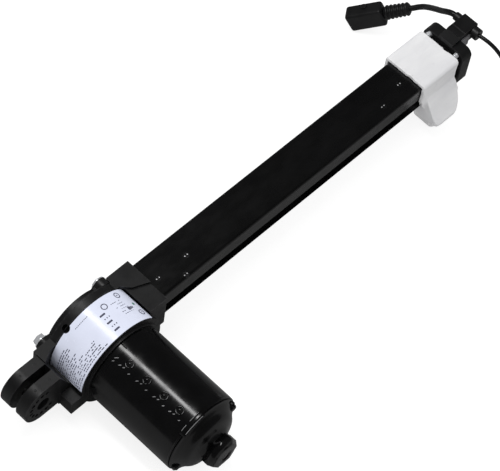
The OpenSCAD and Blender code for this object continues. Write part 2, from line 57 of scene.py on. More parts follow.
FLOOR_Z = -30
MOTOR_X = 59.4
DRUM_R = 35.2
CAN_R = 30
SPINDLE_Z = 15
RAIL_TOP = 24.6
STAMP_ROWS = (-38.5, -54.3, -69.7, -83.9)    # where the can's stamped rings lie along the motor
STAMP_ANGLE, STAMP_R = 110.5, 2.6


def mm(*values):
    """A point in millimetres as a vector in metres."""
    return Vector(values) * MM


# ---- camera ----
# Fitted to the straight edges and round outlines in the photograph, in metres.
CAMERA_PLACE = (-0.52836, -0.52327, 1.33499)
CAMERA_AIM = (0.19125, -0.01101, 0)
CAMERA_ROLL = 10.55
FOCAL_LENGTH = 170.32


def make_camera():
    data = bpy.data.cameras.new("camera")
    data.sensor_width = 36
    data.lens = FOCAL_LENGTH
    data.clip_start = 0.05
    data.clip_end = 20
    camera = bpy.data.objects.new("camera", data)
    bpy.context.scene.collection.objects.link(camera)
    place = Vector(CAMERA_PLACE)
    look = (Vector(CAMERA_AIM) - place).normalized()
    roll = math.radians(CAMERA_ROLL)
    level = look.cross(Vector((0, 0, 1))).normalized()
    above = level.cross(look)
    right = level * math.cos(roll) + above * math.sin(roll)
    up = above * math.cos(roll) - level * math.sin(roll)
    camera.matrix_world = Matrix.Translation(place) @ Matrix((right, up, -look)).transposed().to_4x4()
    bpy.context.scene.camera = camera


make_camera()


# ---- materials ----
class Shader:
    """A material's node tree with short ways to add and join nodes."""

    def __init__(self, name):
        self.material = bpy.data.materials.new(name)
        self.material.use_nodes = True
        self.tree = self.material.node_tree
        self.surface = self.tree.nodes["Principled BSDF"]
        self.place = self.add("ShaderNodeTexCoord").outputs["Object"]

    def add(self, kind, **settings):
        node = self.tree.nodes.new(kind)
        for key, value in settings.items():
            setattr(node, key, value)
        return node

    def join(self, output, target):
        self.tree.links.new(output, target)

    def noise(self, scale, detail=3.0, stretch=(1, 1, 1), distortion=0.0):
        """Noise over the object, with features about 1 / scale metres across."""
        mapping = self.add("ShaderNodeMapping")
        mapping.inputs["Scale"].default_value = stretch
        self.join(self.place, mapping.inputs["Vector"])
        texture = self.add("ShaderNodeTexNoise")
        texture.inputs["Scale"].default_value = scale
        texture.inputs["Detail"].default_value = detail
        texture.inputs["Distortion"].default_value = distortion
        self.join(mapping.outputs["Vector"], texture.inputs["Vector"])
        return texture.outputs["Fac"]

    def spread(self, value, low, high, start=0.35, end=0.65):
        """Maps a texture's middle range to low..high."""
        node = self.add("ShaderNodeMapRange")
        node.inputs["From Min"].default_value = start
        node.inputs["From Max"].default_value = end
        node.inputs["To Min"].default_value = low
        node.inputs["To Max"].default_value = high
        self.join(value, node.inputs["Value"])
        return node.outputs["Result"]

    def mix(self, factor, first, second):
        """Mixes two colours, each given as numbers or as another node's output."""
        node = self.add("ShaderNodeMix", data_type="RGBA")
        self.join(factor, node.inputs["Factor"])
        for socket, value in ((node.inputs[6], first), (node.inputs[7], second)):
            if isinstance(value, tuple):
                socket.default_value = (*value, 1)
            else:
                self.join(value, socket)
        return node.outputs[2]

    def edges(self, radius):
        """1 where an edge lies within a radius in millimetres, and 0 on flat and gently curved faces."""
        bevel = self.add("ShaderNodeBevel", samples=4)
        bevel.inputs["Radius"].default_value = radius * MM
        agree = self.add("ShaderNodeVectorMath", operation="DOT_PRODUCT")
        self.join(bevel.outputs["Normal"], agree.inputs[0])
        self.join(self.add("ShaderNodeNewGeometry").outputs["Normal"], agree.inputs[1])
        return self.spread(agree.outputs["Value"], 1, 0, 0.9, 0.985)

    def bump(self, height, strength, distance, below=None):
        node = self.add("ShaderNodeBump")
        node.inputs["Strength"].default_value = strength
        node.inputs["Distance"].default_value = distance
        self.join(height, node.inputs["Height"])
        if below:
            self.join(below, node.inputs["Normal"])
        return node.outputs["Normal"]


def shade(colour, factor):
    return tuple(min(1.0, c * factor) for c in colour)


def finish_material(name, colour, roughness, metallic=0.0, vary=0.25, rough_vary=0.06, grain=0.0,
                    grain_size=0.4, waves=0.0, wave_size=8.0, stretch=(1, 1, 1), wear=None, wear_radius=0.5,
                    specular=0.5, translucent=0.0):
    """A surface with mottled colour and roughness, fine grain, slow waves and worn edges.
    Sizes are in millimetres; vary is the share by which the colour drifts."""
    s = Shader(name)
    mottle = s.noise(60, 4.0, stretch)
    tint = s.mix(s.spread(mottle, 0, 1), shade(colour, 1 - vary), shade(colour, 1 + vary))
    if wear:
        rubbed = s.add("ShaderNodeMath", operation="MULTIPLY")
        s.join(s.edges(wear_radius), rubbed.inputs[0])
        s.join(s.spread(s.noise(420, 5.0), 0.2, 1, 0.42, 0.6), rubbed.inputs[1])
        tint = s.mix(rubbed.outputs[0], tint, wear)
    s.join(tint, s.surface.inputs["Base Color"])
    blotch = s.noise(140, 3.0, stretch)
    s.join(s.spread(blotch, max(0.02, roughness - rough_vary), min(1, roughness + rough_vary)),
           s.surface.inputs["Roughness"])
    normal = None
    if waves:
        normal = s.bump(s.noise(1000 / wave_size, 2.0, stretch), waves, 0.0004)
    if grain:
        normal = s.bump(s.noise(1000 / grain_size, 4.0, stretch), grain, 0.00012, normal)
    if normal:
        s.join(normal, s.surface.inputs["Normal"])
    s.surface.inputs["Metallic"].default_value = metallic
    s.surface.inputs["Specular IOR Level"].default_value = specular
    if translucent:
        s.surface.inputs["Subsurface Weight"].default_value = translucent
        s.surface.inputs["Subsurface Radius"].default_value = (0.004, 0.004, 0.004)
        s.surface.inputs["Subsurface Scale"].default_value = 1.0
    return s.material


def carriage_material():
    """Natural polyacetal with faint flow lines along the rail and slight handling marks."""
    s = Shader("white_nylon_finish")
    flow = s.noise(55, 5.0, (0.35, 1.4, 1.0), 0.4)
    tint = s.mix(s.spread(flow, 0, 1, 0.3, 0.7), (0.62, 0.62, 0.635), (0.73, 0.73, 0.735))
    marks = s.noise(210, 6.0)
    tint = s.mix(s.spread(marks, 0, 0.35, 0.62, 0.8), tint, (0.5, 0.5, 0.51))
    s.join(tint, s.surface.inputs["Base Color"])
    s.join(s.spread(s.noise(160, 3.0), 0.38, 0.5), s.surface.inputs["Roughness"])
    soft = s.bump(s.noise(90, 3.0, (0.3, 1.3, 1)), 0.35, 0.0006)
    s.join(s.bump(s.noise(1600, 3.0), 0.12, 0.0001, soft), s.surface.inputs["Normal"])
    s.surface.inputs["Subsurface Weight"].default_value = 0.25
    s.surface.inputs["Subsurface Radius"].default_value = (0.003, 0.003, 0.003)
    s.surface.inputs["Subsurface Scale"].default_value = 1.0
    return s.material


def floor_material():
    """White paper floor that glows a little, and is darker in reflections and as a source of light."""
    s = Shader("pale_floor")
    s.join(s.mix(s.noise(3, 2.0), (0.31, 0.31, 0.31), (0.34, 0.34, 0.34)), s.surface.inputs["Base Color"])
    s.surface.inputs["Roughness"].default_value = 0.9
    s.surface.inputs["Specular IOR Level"].default_value = 0.05
    s.surface.inputs["Emission Color"].default_value = (1, 1, 1, 1)
    s.surface.inputs["Emission Strength"].default_value = 0.78
    dark = s.add("ShaderNodeBsdfDiffuse")
    dark.inputs["Color"].default_value = (0.22, 0.22, 0.22, 1)
    path = s.add("ShaderNodeLightPath")
    share = s.add("ShaderNodeMath", operation="MULTIPLY_ADD")
    share.inputs[1].default_value = 0.6
    s.join(path.outputs["Is Diffuse Ray"], share.inputs[0])
    s.join(path.outputs["Is Glossy Ray"], share.inputs[2])
    choose = s.add("ShaderNodeMixShader")
    s.join(share.outputs[0], choose.inputs[0])
    s.join(s.surface.outputs[0], choose.inputs[1])
    s.join(dark.outputs[0], choose.inputs[2])
    s.join(choose.outputs[0], s.tree.nodes["Material Output"].inputs["Surface"])
    return s.material


MATERIALS = {
    "moulded_black": finish_material("moulded_black_finish", (0.0065, 0.0065, 0.007), 0.42, vary=0.2,
                                     grain=0.35, grain_size=0.3, waves=0.1, wear=(0.035, 0.035, 0.037),
                                     specular=0.42),
    "rubber_seal": finish_material("rubber_seal_finish", (0.02, 0.02, 0.02), 0.72, grain=0.4),
    "zinc_steel": finish_material("zinc_steel_finish", (0.6, 0.61, 0.63), 0.26, 0.5, 0.12, grain=0.25,
                                  grain_size=0.25, stretch=(1, 3, 1), wear=(0.85, 0.85, 0.86), wear_radius=0.3),
    "label_film": finish_material("label_film_finish", (0.63, 0.66, 0.78), 0.24, vary=0.03, rough_vary=0.04,
                                  waves=0.18, wave_size=5, grain=0.05, specular=0.55),
    "black_enamel": finish_material("black_enamel_finish", (0.0022, 0.0022, 0.0024), 0.17, rough_vary=0.035,
                                    waves=0.1, wave_size=14, grain=0.05, grain_size=0.8, specular=0.5),
    "ferrite": finish_material("ferrite_finish", (0.05, 0.05, 0.055), 0.6, grain=0.5),
    "phenolic": finish_material("phenolic_finish", (0.16, 0.085, 0.04), 0.5, grain=0.4, stretch=(1, 4, 1)),
    "carbon": finish_material("carbon_finish", (0.022, 0.022, 0.024), 0.42, grain=0.6, grain_size=0.2),
    "bearing_steel": finish_material("bearing_steel_finish", (0.58, 0.59, 0.6), 0.16, 1.0, 0.08, grain=0.12,
                                     grain_size=0.2),
    "bronze": finish_material("bronze_finish", (0.58, 0.4, 0.17), 0.34, 1.0, 0.15, grain=0.4, grain_size=0.2),
    "rail_enamel": finish_material("rail_enamel_finish", (0.0020, 0.0020, 0.0022), 0.28, rough_vary=0.04,
                                   waves=0.1, wave_size=18, grain=0.15, grain_size=0.6, stretch=(0.5, 1, 1),
                                   wear=(0.03, 0.03, 0.032), wear_radius=0.35, specular=0.45),
    "dark_steel": finish_material("dark_steel_finish", (0.16, 0.16, 0.17), 0.3, 0.5, 0.2, grain=0.3,
                                  wear=(0.5, 0.5, 0.52), wear_radius=0.3),
    "switch_plastic": finish_material("switch_plastic_finish", (0.025, 0.04, 0.075), 0.4, grain=0.2),
    "cable_jacket": finish_material("cable_jacket_finish", (0.006, 0.006, 0.0065), 0.27, grain=0.12,
                                    grain_size=0.5, waves=0.08, wave_size=4, specular=0.5),
    "soft_black": finish_material("soft_black_finish", (0.008, 0.008, 0.0085), 0.38, grain=0.3,
                                  grain_size=0.3, wear=(0.03, 0.03, 0.032), specular=0.5),
    "copper": finish_material("copper_finish", (0.5, 0.2, 0.09), 0.32, 1.0, 0.2, grain=0.5, grain_size=0.3),
    "gear_nylon": finish_material("gear_nylon_finish", (0.74, 0.69, 0.55), 0.42, vary=0.08, grain=0.2,
                                  translucent=0.15),
    "white_nylon": carriage_material(),
}
INK = finish_material("label_ink_finish", (0.06, 0.062, 0.1), 0.4, vary=0.4, grain=0.1)
# Painted highlight: a light grey enamel for the glints drawn on the motor can.
PAINTED_GLINT_GREY = finish_material("painted_glint_grey_finish", (0.2, 0.2, 0.205), 0.35, vary=0.35, grain=0.2)
SCREW_BLACK = finish_material("screw_black_finish", (0.004, 0.004, 0.0045), 0.35, grain=0.2)
# Painted highlight: a light grey for the glints drawn on the rail's black screws.
SCREW_GLINT_GREY = finish_material("painted_screw_glint_finish", (0.45, 0.45, 0.46), 0.3, vary=0.3, grain=0.2)
GREEN_INK = finish_material("green_ink_finish", (0.03, 0.22, 0.13), 0.4, vary=0.3, grain=0.1)


# ---- mesh helpers ----
def new_piece(name, mesh, slot_name, body="base", replaced=(), materials=None):
    """Links a mesh as a visible piece that rides on a body and stands for CAD nodes."""
    piece = bpy.data.objects.new(name, mesh)
    bpy.context.scene.collection.objects.link(piece)
    for item in materials or [MATERIALS[slot_name]]:
        mesh.materials.append(item)
    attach(piece, body)
    if replaced:
        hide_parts(*replaced)
    return piece


def to_mesh(bm, name):
    """Closes a bmesh into a smooth-shaded mesh."""
    bmesh.ops.recalc_face_normals(bm, faces=bm.faces)
    for face in bm.faces:
        face.smooth = True
    mesh = bpy.data.meshes.new(name)
    bm.to_mesh(mesh)
    bm.free()
    return mesh


def weigh_normals(piece):
    """Flat faces shade flat and the rounds between them shade smooth."""
    modifier = piece.modifiers.new("weighted_normals", "WEIGHTED_NORMAL")
    modifier.weight = 100
    modifier.keep_sharp = True


def cad_bmesh(node):
    """A CAD node's mesh with its vertices joined and its flat faces whole."""
    bm = bmesh.new()
    bm.from_mesh(NODES[node].data)
    bmesh.ops.remove_doubles(bm, verts=bm.verts, dist=1e-6)
    bmesh.ops.dissolve_limit(bm, angle_limit=math.radians(0.4), verts=bm.verts, edges=bm.edges)
    return bm


def round_edges(bm, width, segments=2, angle=30):
    """Bevels every edge sharper than an angle in degrees, by a width in millimetres."""
    sharp = [e for e in bm.edges if e.is_manifold and e.calc_face_angle(0) > math.radians(angle)]
    bmesh.ops.bevel(bm, geom=sharp, offset=width * MM, segments=segments, profile=0.5, affect="EDGES",
                    clamp_overlap=True, loop_slide=True)


def refined(node, width, segments=2, name=None, details=None):
    """A copy of a CAD node with rounded edges and optional added details, in place of the node."""
    bm = cad_bmesh(node)
    round_edges(bm, width, segments)
    if details:
        details(bm)
    piece = new_piece(name or node + "_moulding", to_mesh(bm, node), SLOT_OF[node], BODY_OF[node], [node])
    weigh_normals(piece)
    return piece


def circle(bm, centre, side, up, radius, steps):
    """Adds a ring of vertices, given in millimetres, in the plane of two directions."""
    turns = [2 * math.pi * k / steps for k in range(steps)]
    return [bm.verts.new((centre + (side * math.cos(t) + up * math.sin(t)) * radius) * MM) for t in turns]


def join_rings(bm, rings, closed):
    """Joins rings of vertices into a skin. A closed one comes back to its start, any other gets end caps."""
    steps = len(rings[0])
    pairs = list(zip(rings, rings[1:]))
    if closed:
        pairs.append((rings[-1], rings[0]))
    for a, b in pairs:
        for k in range(steps):
            n = (k + 1) % steps
            bm.faces.new((a[k], a[n], b[n], b[k]))
    if not closed:
        bm.faces.new(rings[0])
        bm.faces.new(reversed(rings[-1]))


def frame_of(axis):
    """Two directions at right angles to an axis."""
    axis = Vector(axis).normalized()
    side = axis.cross(Vector((0, 0, 1)) if abs(axis.z) < 0.9 else Vector((0, 1, 0))).normalized()
    return axis, side, axis.cross(side)


def add_revolved(bm, profile, origin, axis, steps=96, closed=False):
    """Adds a solid of revolution. The profile is (distance along the axis, radius) in millimetres;
    a closed one comes back to its start, and any other has a flat cap at each end."""
    axis, side, up = frame_of(axis)
    rings = [circle(bm, Vector(origin) + axis * along, side, up, radius, steps) for along, radius in profile]
    join_rings(bm, rings, closed)


def arc(centre_along, centre_radius, radius, start, end, count=6):
    """Profile points along a round corner, with angles from the axis towards the outside."""
    points = []
    for k in range(count + 1):
        turn = math.radians(start + (end - start) * k / count)
        points.append((centre_along + radius * math.cos(turn), centre_radius + radius * math.sin(turn)))
    return points


def add_swept_ring(bm, centres, radius, steps=8, closed=True):
    """Adds a thin round bead along a list of points in millimetres."""
    count = len(centres)
    rings = []
    for i, centre in enumerate(centres):
        before = centres[(i - 1) % count] if closed or i else centres[0]
        after = centres[(i + 1) % count] if closed or i < count - 1 else centres[-1]
        _, side, up = frame_of(Vector(after) - Vector(before))
        rings.append(circle(bm, Vector(centre), side, up, radius, steps))
    join_rings(bm, rings, closed)


def on_motor(angle, y, radius):
    """A point round the motor's axis, with angles from +X towards +Z."""
    turn = math.radians(angle)
    return Vector((MOTOR_X + radius * math.cos(turn), y, radius * math.sin(turn)))


def add_curved_slab(bm, a0, a1, y0, y1, r0, r1, steps):
    """Adds a closed slab bent round the motor's axis, between two angles, two places and two radii."""
    rings = []
    for k in range(steps + 1):
        angle = a0 + (a1 - a0) * k / steps
        corners = [(y0, r0), (y1, r0), (y1, r1), (y0, r1)]
        rings.append([bm.verts.new(on_motor(angle, y, r) * MM) for y, r in corners])
    for a, b in zip(rings, rings[1:]):
        for k in range(4):
            n = (k + 1) % 4
            bm.faces.new((a[k], b[k], b[n], a[n]))
    bm.faces.new(rings[0])
    bm.faces.new(reversed(rings[-1]))


# ---- cords ----
PLUG_ROUTE = [
    (420, 10.4, 28), (419.9, 13.4, 27.5), (419.8, 16.2, 26.2), (419.9, 18.8, 24.4), (420.3, 21.4, 22.2),
    (420.9, 24.2, 19.8), (421.7, 27.2, 17.3), (422.5, 30.2, 14.7), (423.1, 33.2, 12.2), (423.4, 36.2, 9.8),
    (423.3, 38.9, 7.8), (422.5, 41.2, 6.2), (421.2, 43.3, 4.8), (419.8, 45.2, 3.4), (418.2, 47.2, 2)]
LEAD_ROUTE = [
    (419, -12.4, 28), (419.9, -18, 27.7), (420.8, -24, 26.4), (421.6, -30, 23.6), (422.4, -35.4, 18.8),
    (423, -39.6, 12.4), (423.6, -42.8, 5), (424.4, -45.4, -2.8), (425.4, -47.8, -10.6), (426.8, -50.4, -17.8),
    (428.9, -53.6, -24), (432, -57.6, -27.4), (436.2, -60.8, -28.5), (441, -62.4, -28.5)]
TAIL_ROUTE = [
    (455.6, -76, -22.5), (458.8, -82.4, -23.2), (459.6, -89, -25), (457.8, -95.4, -26.6), (453.4, -100.4, -27),
    (447.4, -104, -27)]
PLUG_CABLE_D = 4.4
LEAD_D = 3
COIL_CENTRE = (437, -82)
COIL_OUTER, COIL_INNER = 19.5, 13.5      # middle of the outermost and innermost turns
COIL_START = 78.5                        # angle at which the lead joins the coil
COIL_ROW_1 = 1020                        # degrees wound when the lead climbs to the second row
COIL_ROW_2 = 2040                        # and to the third
COIL_END = 2220
SHIFT = 60                               # degrees over which a turn moves in, out or up


def ease(value, start, end):
    """0 before start, 1 after end, smooth between."""
    t = max(0.0, min(1.0, (value - start) / (end - start)))
    return t * t * (3 - 2 * t)


def coil_route():
    """The wound turns, clockwise: one row going in, a second coming out on top, and part of a third."""
    points = []
    for wound in range(15, COIL_END, 15):
        inward = ease(wound, 360 - SHIFT, 360) + ease(wound, 720 - SHIFT, 720)
        outward = (ease(wound, COIL_ROW_1 + 360 - SHIFT, COIL_ROW_1 + 360)
                   + ease(wound, COIL_ROW_1 + 720 - SHIFT, COIL_ROW_1 + 720))
        radius = COIL_OUTER + LEAD_D * (outward - inward)
        row = ease(wound, COIL_ROW_1 - SHIFT, COIL_ROW_1) + ease(wound, COIL_ROW_2 - SHIFT, COIL_ROW_2)
        turn = math.radians(COIL_START - wound)
        points.append((COIL_CENTRE[0] + radius * math.cos(turn), COIL_CENTRE[1] + radius * math.sin(turn),
                       FLOOR_Z + LEAD_D / 2 + LEAD_D * row))
    return points


def make_cord(name, route, diameter, replaced):
    """A round cable through a list of points, in place of CAD nodes. Sizes are in millimetres."""
    data = bpy.data.curves.new(name, "CURVE")
    data.dimensions = "3D"
    data.resolution_u = 6
    data.bevel_depth = diameter / 2 * MM
    data.bevel_resolution = 5
    data.use_fill_caps = True
    spline = data.splines.new("BEZIER")
    spline.bezier_points.add(len(route) - 1)
    for point, place in zip(spline.bezier_points, route):
        point.co = mm(*place)
        point.handle_left_type = point.handle_right_type = "AUTO"
    data.materials.append(MATERIALS["cable_jacket"])
    piece = bpy.data.objects.new(name, data)
    bpy.context.scene.collection.objects.link(piece)
    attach(piece, "base")
    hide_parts(*replaced)
    return piece


plug_cord = make_cord("plug_cord", PLUG_ROUTE, PLUG_CABLE_D, ["plug_cable"])
lead_line = LEAD_ROUTE + coil_route() + TAIL_ROUTE
lead_cord = make_cord("lead_cord", lead_line, LEAD_D, ["lead_cable", "lead_coil", "lead_tail"])


# ---- gearbox pieces ----
def clevis_details(bm):
    """Two small ejector dots on the top of each ear."""
    ear_r, sunk = 15.8, 0.15
    for y in (-7.2, 7.2):
        for x in (-3, 9):
            z = math.sqrt(max(0.0, ear_r ** 2 - min(x, 0) ** 2)) - sunk
            add_revolved(bm, [(0, 1), (0.25, 1), (0.3, 0.8)], (x, y, z), (0, 0, 1), 20)


def housing_details(bm):
    """Two fine raised seams round the drum, beside the cover."""
    for y in (8.4, 13.2):
        ring = [on_motor(a, y, DRUM_R - 0.05) for a in range(62, 166, 2)]
        add_swept_ring(bm, ring, 0.16, 6, closed=False)


def make_gearbox():
    refined("rear_clevis", 0.7, 3, details=clevis_details)
    refined("gear_housing", 0.5, 3, details=housing_details)
    refined("housing_cover", 0.6, 3)
    refined("cover_bolts", 0.28, 3, name="cover_bolt_heads")


# ---- label ----
LABEL_R = DRUM_R + 0.3
INK_RISE = 0.025


def add_mark(bm, angle, y, length, width):
    """One printed stroke: length runs round the drum and width along the motor's axis, in millimetres."""
    span = math.degrees(length / LABEL_R) / 2
    steps = max(1, round(length / 1.5))
    add_curved_slab(bm, angle - span, angle + span, y - width / 2, y + width / 2, LABEL_R - 0.01,
                    LABEL_R + INK_RISE, steps)


def add_ring_mark(bm, angle, y, radius, line):
    """A printed circle made of short strokes."""
    count = 20
    points = []
    for k in range(count):
        turn = 2 * math.pi * k / count
        points.append(on_motor(angle + math.degrees(radius * math.cos(turn) / LABEL_R),
                               y + radius * math.sin(turn), LABEL_R))
    add_swept_ring(bm, points, line / 2, 6)


def make_label_print():
    """Abstract rows of dashes, bars and rings, none of them meant as a letter or a known mark."""
    random.seed(7)
    bm = bmesh.new()
    for row in range(14):
        y = -20 + row * 1.6
        angle = 176.5 - random.uniform(0, 2.5)
        stop = random.uniform(111, 122) if row < 6 else random.uniform(132, 152)
        while angle > stop:
            length = random.uniform(0.6, 2.6)
            if random.random() < 0.82:
                add_mark(bm, angle, y, length, 0.62)
            angle -= math.degrees((length + random.uniform(0.45, 1.2)) / LABEL_R)
    for row in range(11):
        add_mark(bm, 177.4, -19.6 + 1.9 * row, 0.9, 1.2)
    angle = 122
    while angle > 104:
        add_mark(bm, angle, 2.8, 0.8, 0.5)
        angle -= 2.1
    for y in (-3.5, -10.3, -17):
        add_mark(bm, 92.5, y, 4.4, 1.3)
    for y in (-6.9, -13.7):
        for angle in (94, 91, 88):
            add_mark(bm, angle, y, 0.7, 0.9)
    for angle, y in ((84, 0.4), (60, 3), (50.5, -15.5)):
        add_ring_mark(bm, angle, y, 2.1, 0.6)
    for angle, y in ((60, 3), (50.5, -15.5)):
        add_mark(bm, angle, y, 2, 0.5)
    for row in range(6):
        for k in range(5):
            if random.random() < 0.75:
                add_mark(bm, 76 - 3.0 * k - row, -1 - 2.2 * row, random.uniform(0.5, 1.5), 0.45)
    for k in range(4):
        add_mark(bm, 62.5 - 2.1 * k, -9.5, 1.1, 3.0 - 0.5 * k)
    new_piece("label_print", to_mesh(bm, "label_print"), "label_film", materials=[INK])
    bm = bmesh.new()
    add_mark(bm, 49.5, -7.2, 2.0, 2.0)
    new_piece("label_green_spot", to_mesh(bm, "label_green_spot"), "label_film", materials=[GREEN_INK])


# ---- motor ----
def add_can_stamps(bm):
    """Four stamped rings with a dot each, and a short bead at the front of the can."""
    for y in STAMP_ROWS:
        ring = []
        for k in range(28):
            turn = 2 * math.pi * k / 28
            angle = STAMP_ANGLE + math.degrees(STAMP_R * math.cos(turn) / CAN_R)
            ring.append(on_motor(angle, y + STAMP_R * math.sin(turn), CAN_R))
        add_swept_ring(bm, ring, 0.55, 8)
        dot = on_motor(STAMP_ANGLE, y + 0.4, CAN_R - 0.25)
        outward = dot - Vector((MOTOR_X, dot.y, 0))
        add_revolved(bm, [(0, 1.0), (0.45, 0.9), (0.6, 0.5)], dot, outward, 16)
    bead = [on_motor(99, y, CAN_R) for y in (-25, -26.5, -28, -29.4)]
    add_swept_ring(bm, bead, 0.45, 6, closed=False)


def make_can_painted_glints():
    """Painted highlights on the can: light grey strokes and arcs beside the stamps and beads along the ledge's
    edges, standing in for glints.
    """
    bm = bmesh.new()
    glint_strokes = [(115.6, -29, 1.1), (121.3, -28.6, 0.6)]      # angle, place and half length
    for y in STAMP_ROWS:
        for start in (0.1, 2.2, 4.1):
            # Painted highlight: short grey arcs on the lit side of each stamped ring.
            turns = [start + 0.2 * k for k in range(6)]
            rim = [on_motor(STAMP_ANGLE + 5 * math.cos(turn), y + STAMP_R * math.sin(turn), CAN_R + 0.4)
                   for turn in turns]
            add_swept_ring(bm, rim, 0.17, 6, closed=False)
        glint_strokes += [(119.5, y + 4.6, 0.75), (118.6, y + 1.4, 0.55), (120.1, y - 3.9, 0.6)]
    # Painted glints: short grey strokes beside the stamps.
    for angle, y, half in glint_strokes:
        tick = [on_motor(angle + 1.6 * half * t, y + half * t, CAN_R - 0.1) for t in (-1, -0.4, 0.4, 1)]
        add_swept_ring(bm, tick, 0.32, 6, closed=False)
    # Painted highlights along the ledge's front and rear edges.
    for y, a0, a1 in ((-93.6, 97, 112), (-93.6, 118, 127), (-97.3, 97, 127)):
        edge = [on_motor(a, y, 30.6) for a in range(a0, a1 + 1, 3)]
        add_swept_ring(bm, edge, 0.25, 6, closed=False)
    new_piece("motor_can_painted_glints", to_mesh(bm, "motor_can_painted_glints"), "black_enamel", materials=[PAINTED_GLINT_GREY])


def make_motor_can():
    """The can as a hollow revolved shell with its stamps, and the ledge at its rear edge."""
    front, back, wall = -24.0, -95.5, 1.8
    profile = arc(front - 0.8, CAN_R - 0.8, 0.8, 0, 90)
    profile += [(front - k * 6.0, CAN_R) for k in range(1, 12)]
    profile += [(-93.6, CAN_R), (-93.9, CAN_R - 0.3), (-94.3, CAN_R - 0.3), (-94.6, CAN_R - 0.05)]
    profile += arc(back + 0.6, CAN_R - 0.65, 0.6, 90, 180, 4)
    profile += [(back, CAN_R - wall), (front - 2.2, CAN_R - wall), (front - 2.2, 13), (front, 13)]
    bm = bmesh.new()
    add_revolved(bm, profile, (MOTOR_X, 0, 0), (0, 1, 0), 160, closed=True)
    add_can_stamps(bm)
    piece = new_piece("motor_can_shell", to_mesh(bm, "motor_can"), "black_enamel", replaced=["motor_can"])
    weigh_normals(piece)
    bm = bmesh.new()
    add_curved_slab(bm, 94, 131, -97.4, -93.6, 28.3, 30.7, 24)
    round_edges(bm, 0.5, 3, 40)
    weigh_normals(new_piece("motor_can_ledge", to_mesh(bm, "motor_can_ledge"), "black_enamel"))


def make_end_bell():
    """Drawn end bell: stepped dome, bearing boss with a faceted cap, and pressed bumps on its rim."""
    outer = [(-92, 28), (-95.5, 28), (-95.5, 28.9)] + arc(-96.1, 28.6, 0.6, 90, 180, 4)
    outer += [(-97.2, 27.2), (-98.4, 26), (-99.4, 24.6), (-100.4, 23.4), (-101.6, 22.3), (-102.6, 21.4),
              (-103.5, 20.4), (-104.2, 19.2), (-105.0, 17.0), (-105.8, 15.0), (-106.4, 14.0), (-107.4, 12.6),
              (-108.4, 11.6), (-109.6, 11), (-111, 10.3), (-112.2, 10), (-115, 10), (-116, 9.9)]
    outer += arc(-116.2, 8.5, 1.4, 90, 160, 5)
    outer += [(-117.6, 6.5), (-117.6, 3)]
    inner = [(-102, 3), (-102, 6), (-95.5, 6), (-95.5, 24), (-92, 24)]
    bm = bmesh.new()
    add_revolved(bm, outer + inner, (MOTOR_X, 0, 0), (0, 1, 0), 128, closed=True)
    add_revolved(bm, [(-103, 3), (-117.2, 3)], (MOTOR_X, 0, 0), (0, 1, 0), 32)
    for angle in (20, 200):
        spot = on_motor(angle, -97.8, 25.6)
        add_revolved(bm, [(0, 3), (1.6, 2.9), (2.4, 2.4), (2.7, 1.4)], spot, (0, -1, 0), 24)
    piece = new_piece("motor_end_bell_shell", to_mesh(bm, "motor_end_bell"), "black_enamel",
                      replaced=["motor_end_bell"])
    weigh_normals(piece)
    bm = bmesh.new()
    add_revolved(bm, [(0, 13.2), (5.2, 13.2), (8.4, 10.6)], (MOTOR_X, -109, 0), (0, -1, 0), 6)
    round_edges(bm, 0.6, 3)
    weigh_normals(new_piece("end_bell_boss", to_mesh(bm, "end_bell_boss"), "black_enamel"))
    refined("end_bell_rivets", 0.35, 3)


# ---- rail ----
SCREW_PLACES = ((109.2, -3.1), (125, -13.2), (135.5, -2.8), (323.8, -7.8), (346.4, -2.4))


def make_rail():
    """The rail and end cap with their screws, painted glints as grey dots on the black screws and threaded
    studs on the cap.
    """
    refined("rail", 0.25, 2, name="guide_rail")
    screws = refined("rail_screws", 0.18, 2, name="rail_screw_heads")
    screws.data.materials[0] = SCREW_BLACK
    # Painted glints: two small grey dots on each black rail screw.
    bm = bmesh.new()
    glint_dot = [(0, 0.45), (0.12, 0.42), (0.2, 0.2)]
    for x, y in SCREW_PLACES:
        for shift in (-1.15, 1.15):
            add_revolved(bm, glint_dot, (x + shift, y, RAIL_TOP - 0.37), (0, 0, 1), 12)
    new_piece("rail_screw_painted_glints", to_mesh(bm, "rail_screw_painted_glints"), "dark_steel", materials=[SCREW_GLINT_GREY])
    refined("end_cap", 0.8, 4, name="rail_end_cap")
    refined("end_cap_screws", 0.2, 2, name="end_cap_screw_heads")
    bm = bmesh.new()
    for y in (12.6, -13):
        shank = [(0, 1.6)]
        for k in range(4):
            shank += [(0.3 + 1.0 * k, 1.5), (0.7 + 1.0 * k, 2.0), (1.0 + 1.0 * k, 2.0)]
        add_revolved(bm, shank + [(4.4, 1.5)], (392.6, y, RAIL_TOP + 0.9), (1, 0, 0), 24)
    new_piece("end_cap_studs", to_mesh(bm, "end_cap_studs"), "zinc_steel")


def make_spindle():
    """The spindle with its four-start rolled thread."""
    lead, starts, depth = 12, 4, 0.75
    begin, end = 77, 388
    step = lead / starts / 8
    around = 28
    bm = bmesh.new()
    profile = [(42, 3.9), (51.2, 3.95), (51.2, 5), (68.4, 5), (68.4, 3.95), (76.6, 3.95)]
    add_revolved(bm, profile, (0, 0, SPINDLE_Z), (1, 0, 0), around)
    rings = []
    count = int((end - begin) / step)
    for i in range(count + 1):
        x = begin + (end - begin) * i / count
        ring = []
        for k in range(around):
            turn = 2 * math.pi * k / around
            phase = (x / lead - k / around) * starts % 1
            radius = 5 - depth * ease(abs(phase - 0.5) * 2, 0.35, 0.85)
            ring.append(bm.verts.new(mm(x, radius * math.cos(turn), SPINDLE_Z + radius * math.sin(turn))))
        rings.append(ring)
    join_rings(bm, rings, closed=False)
    add_revolved(bm, [(0, 3.5), (13.6, 3.5), (14, 3.1)], (388, 0, SPINDLE_Z), (1, 0, 0), around)
    piece = new_piece("threaded_spindle", to_mesh(bm, "spindle"), "bearing_steel", "spindle", ["spindle"])
    weigh_normals(piece)


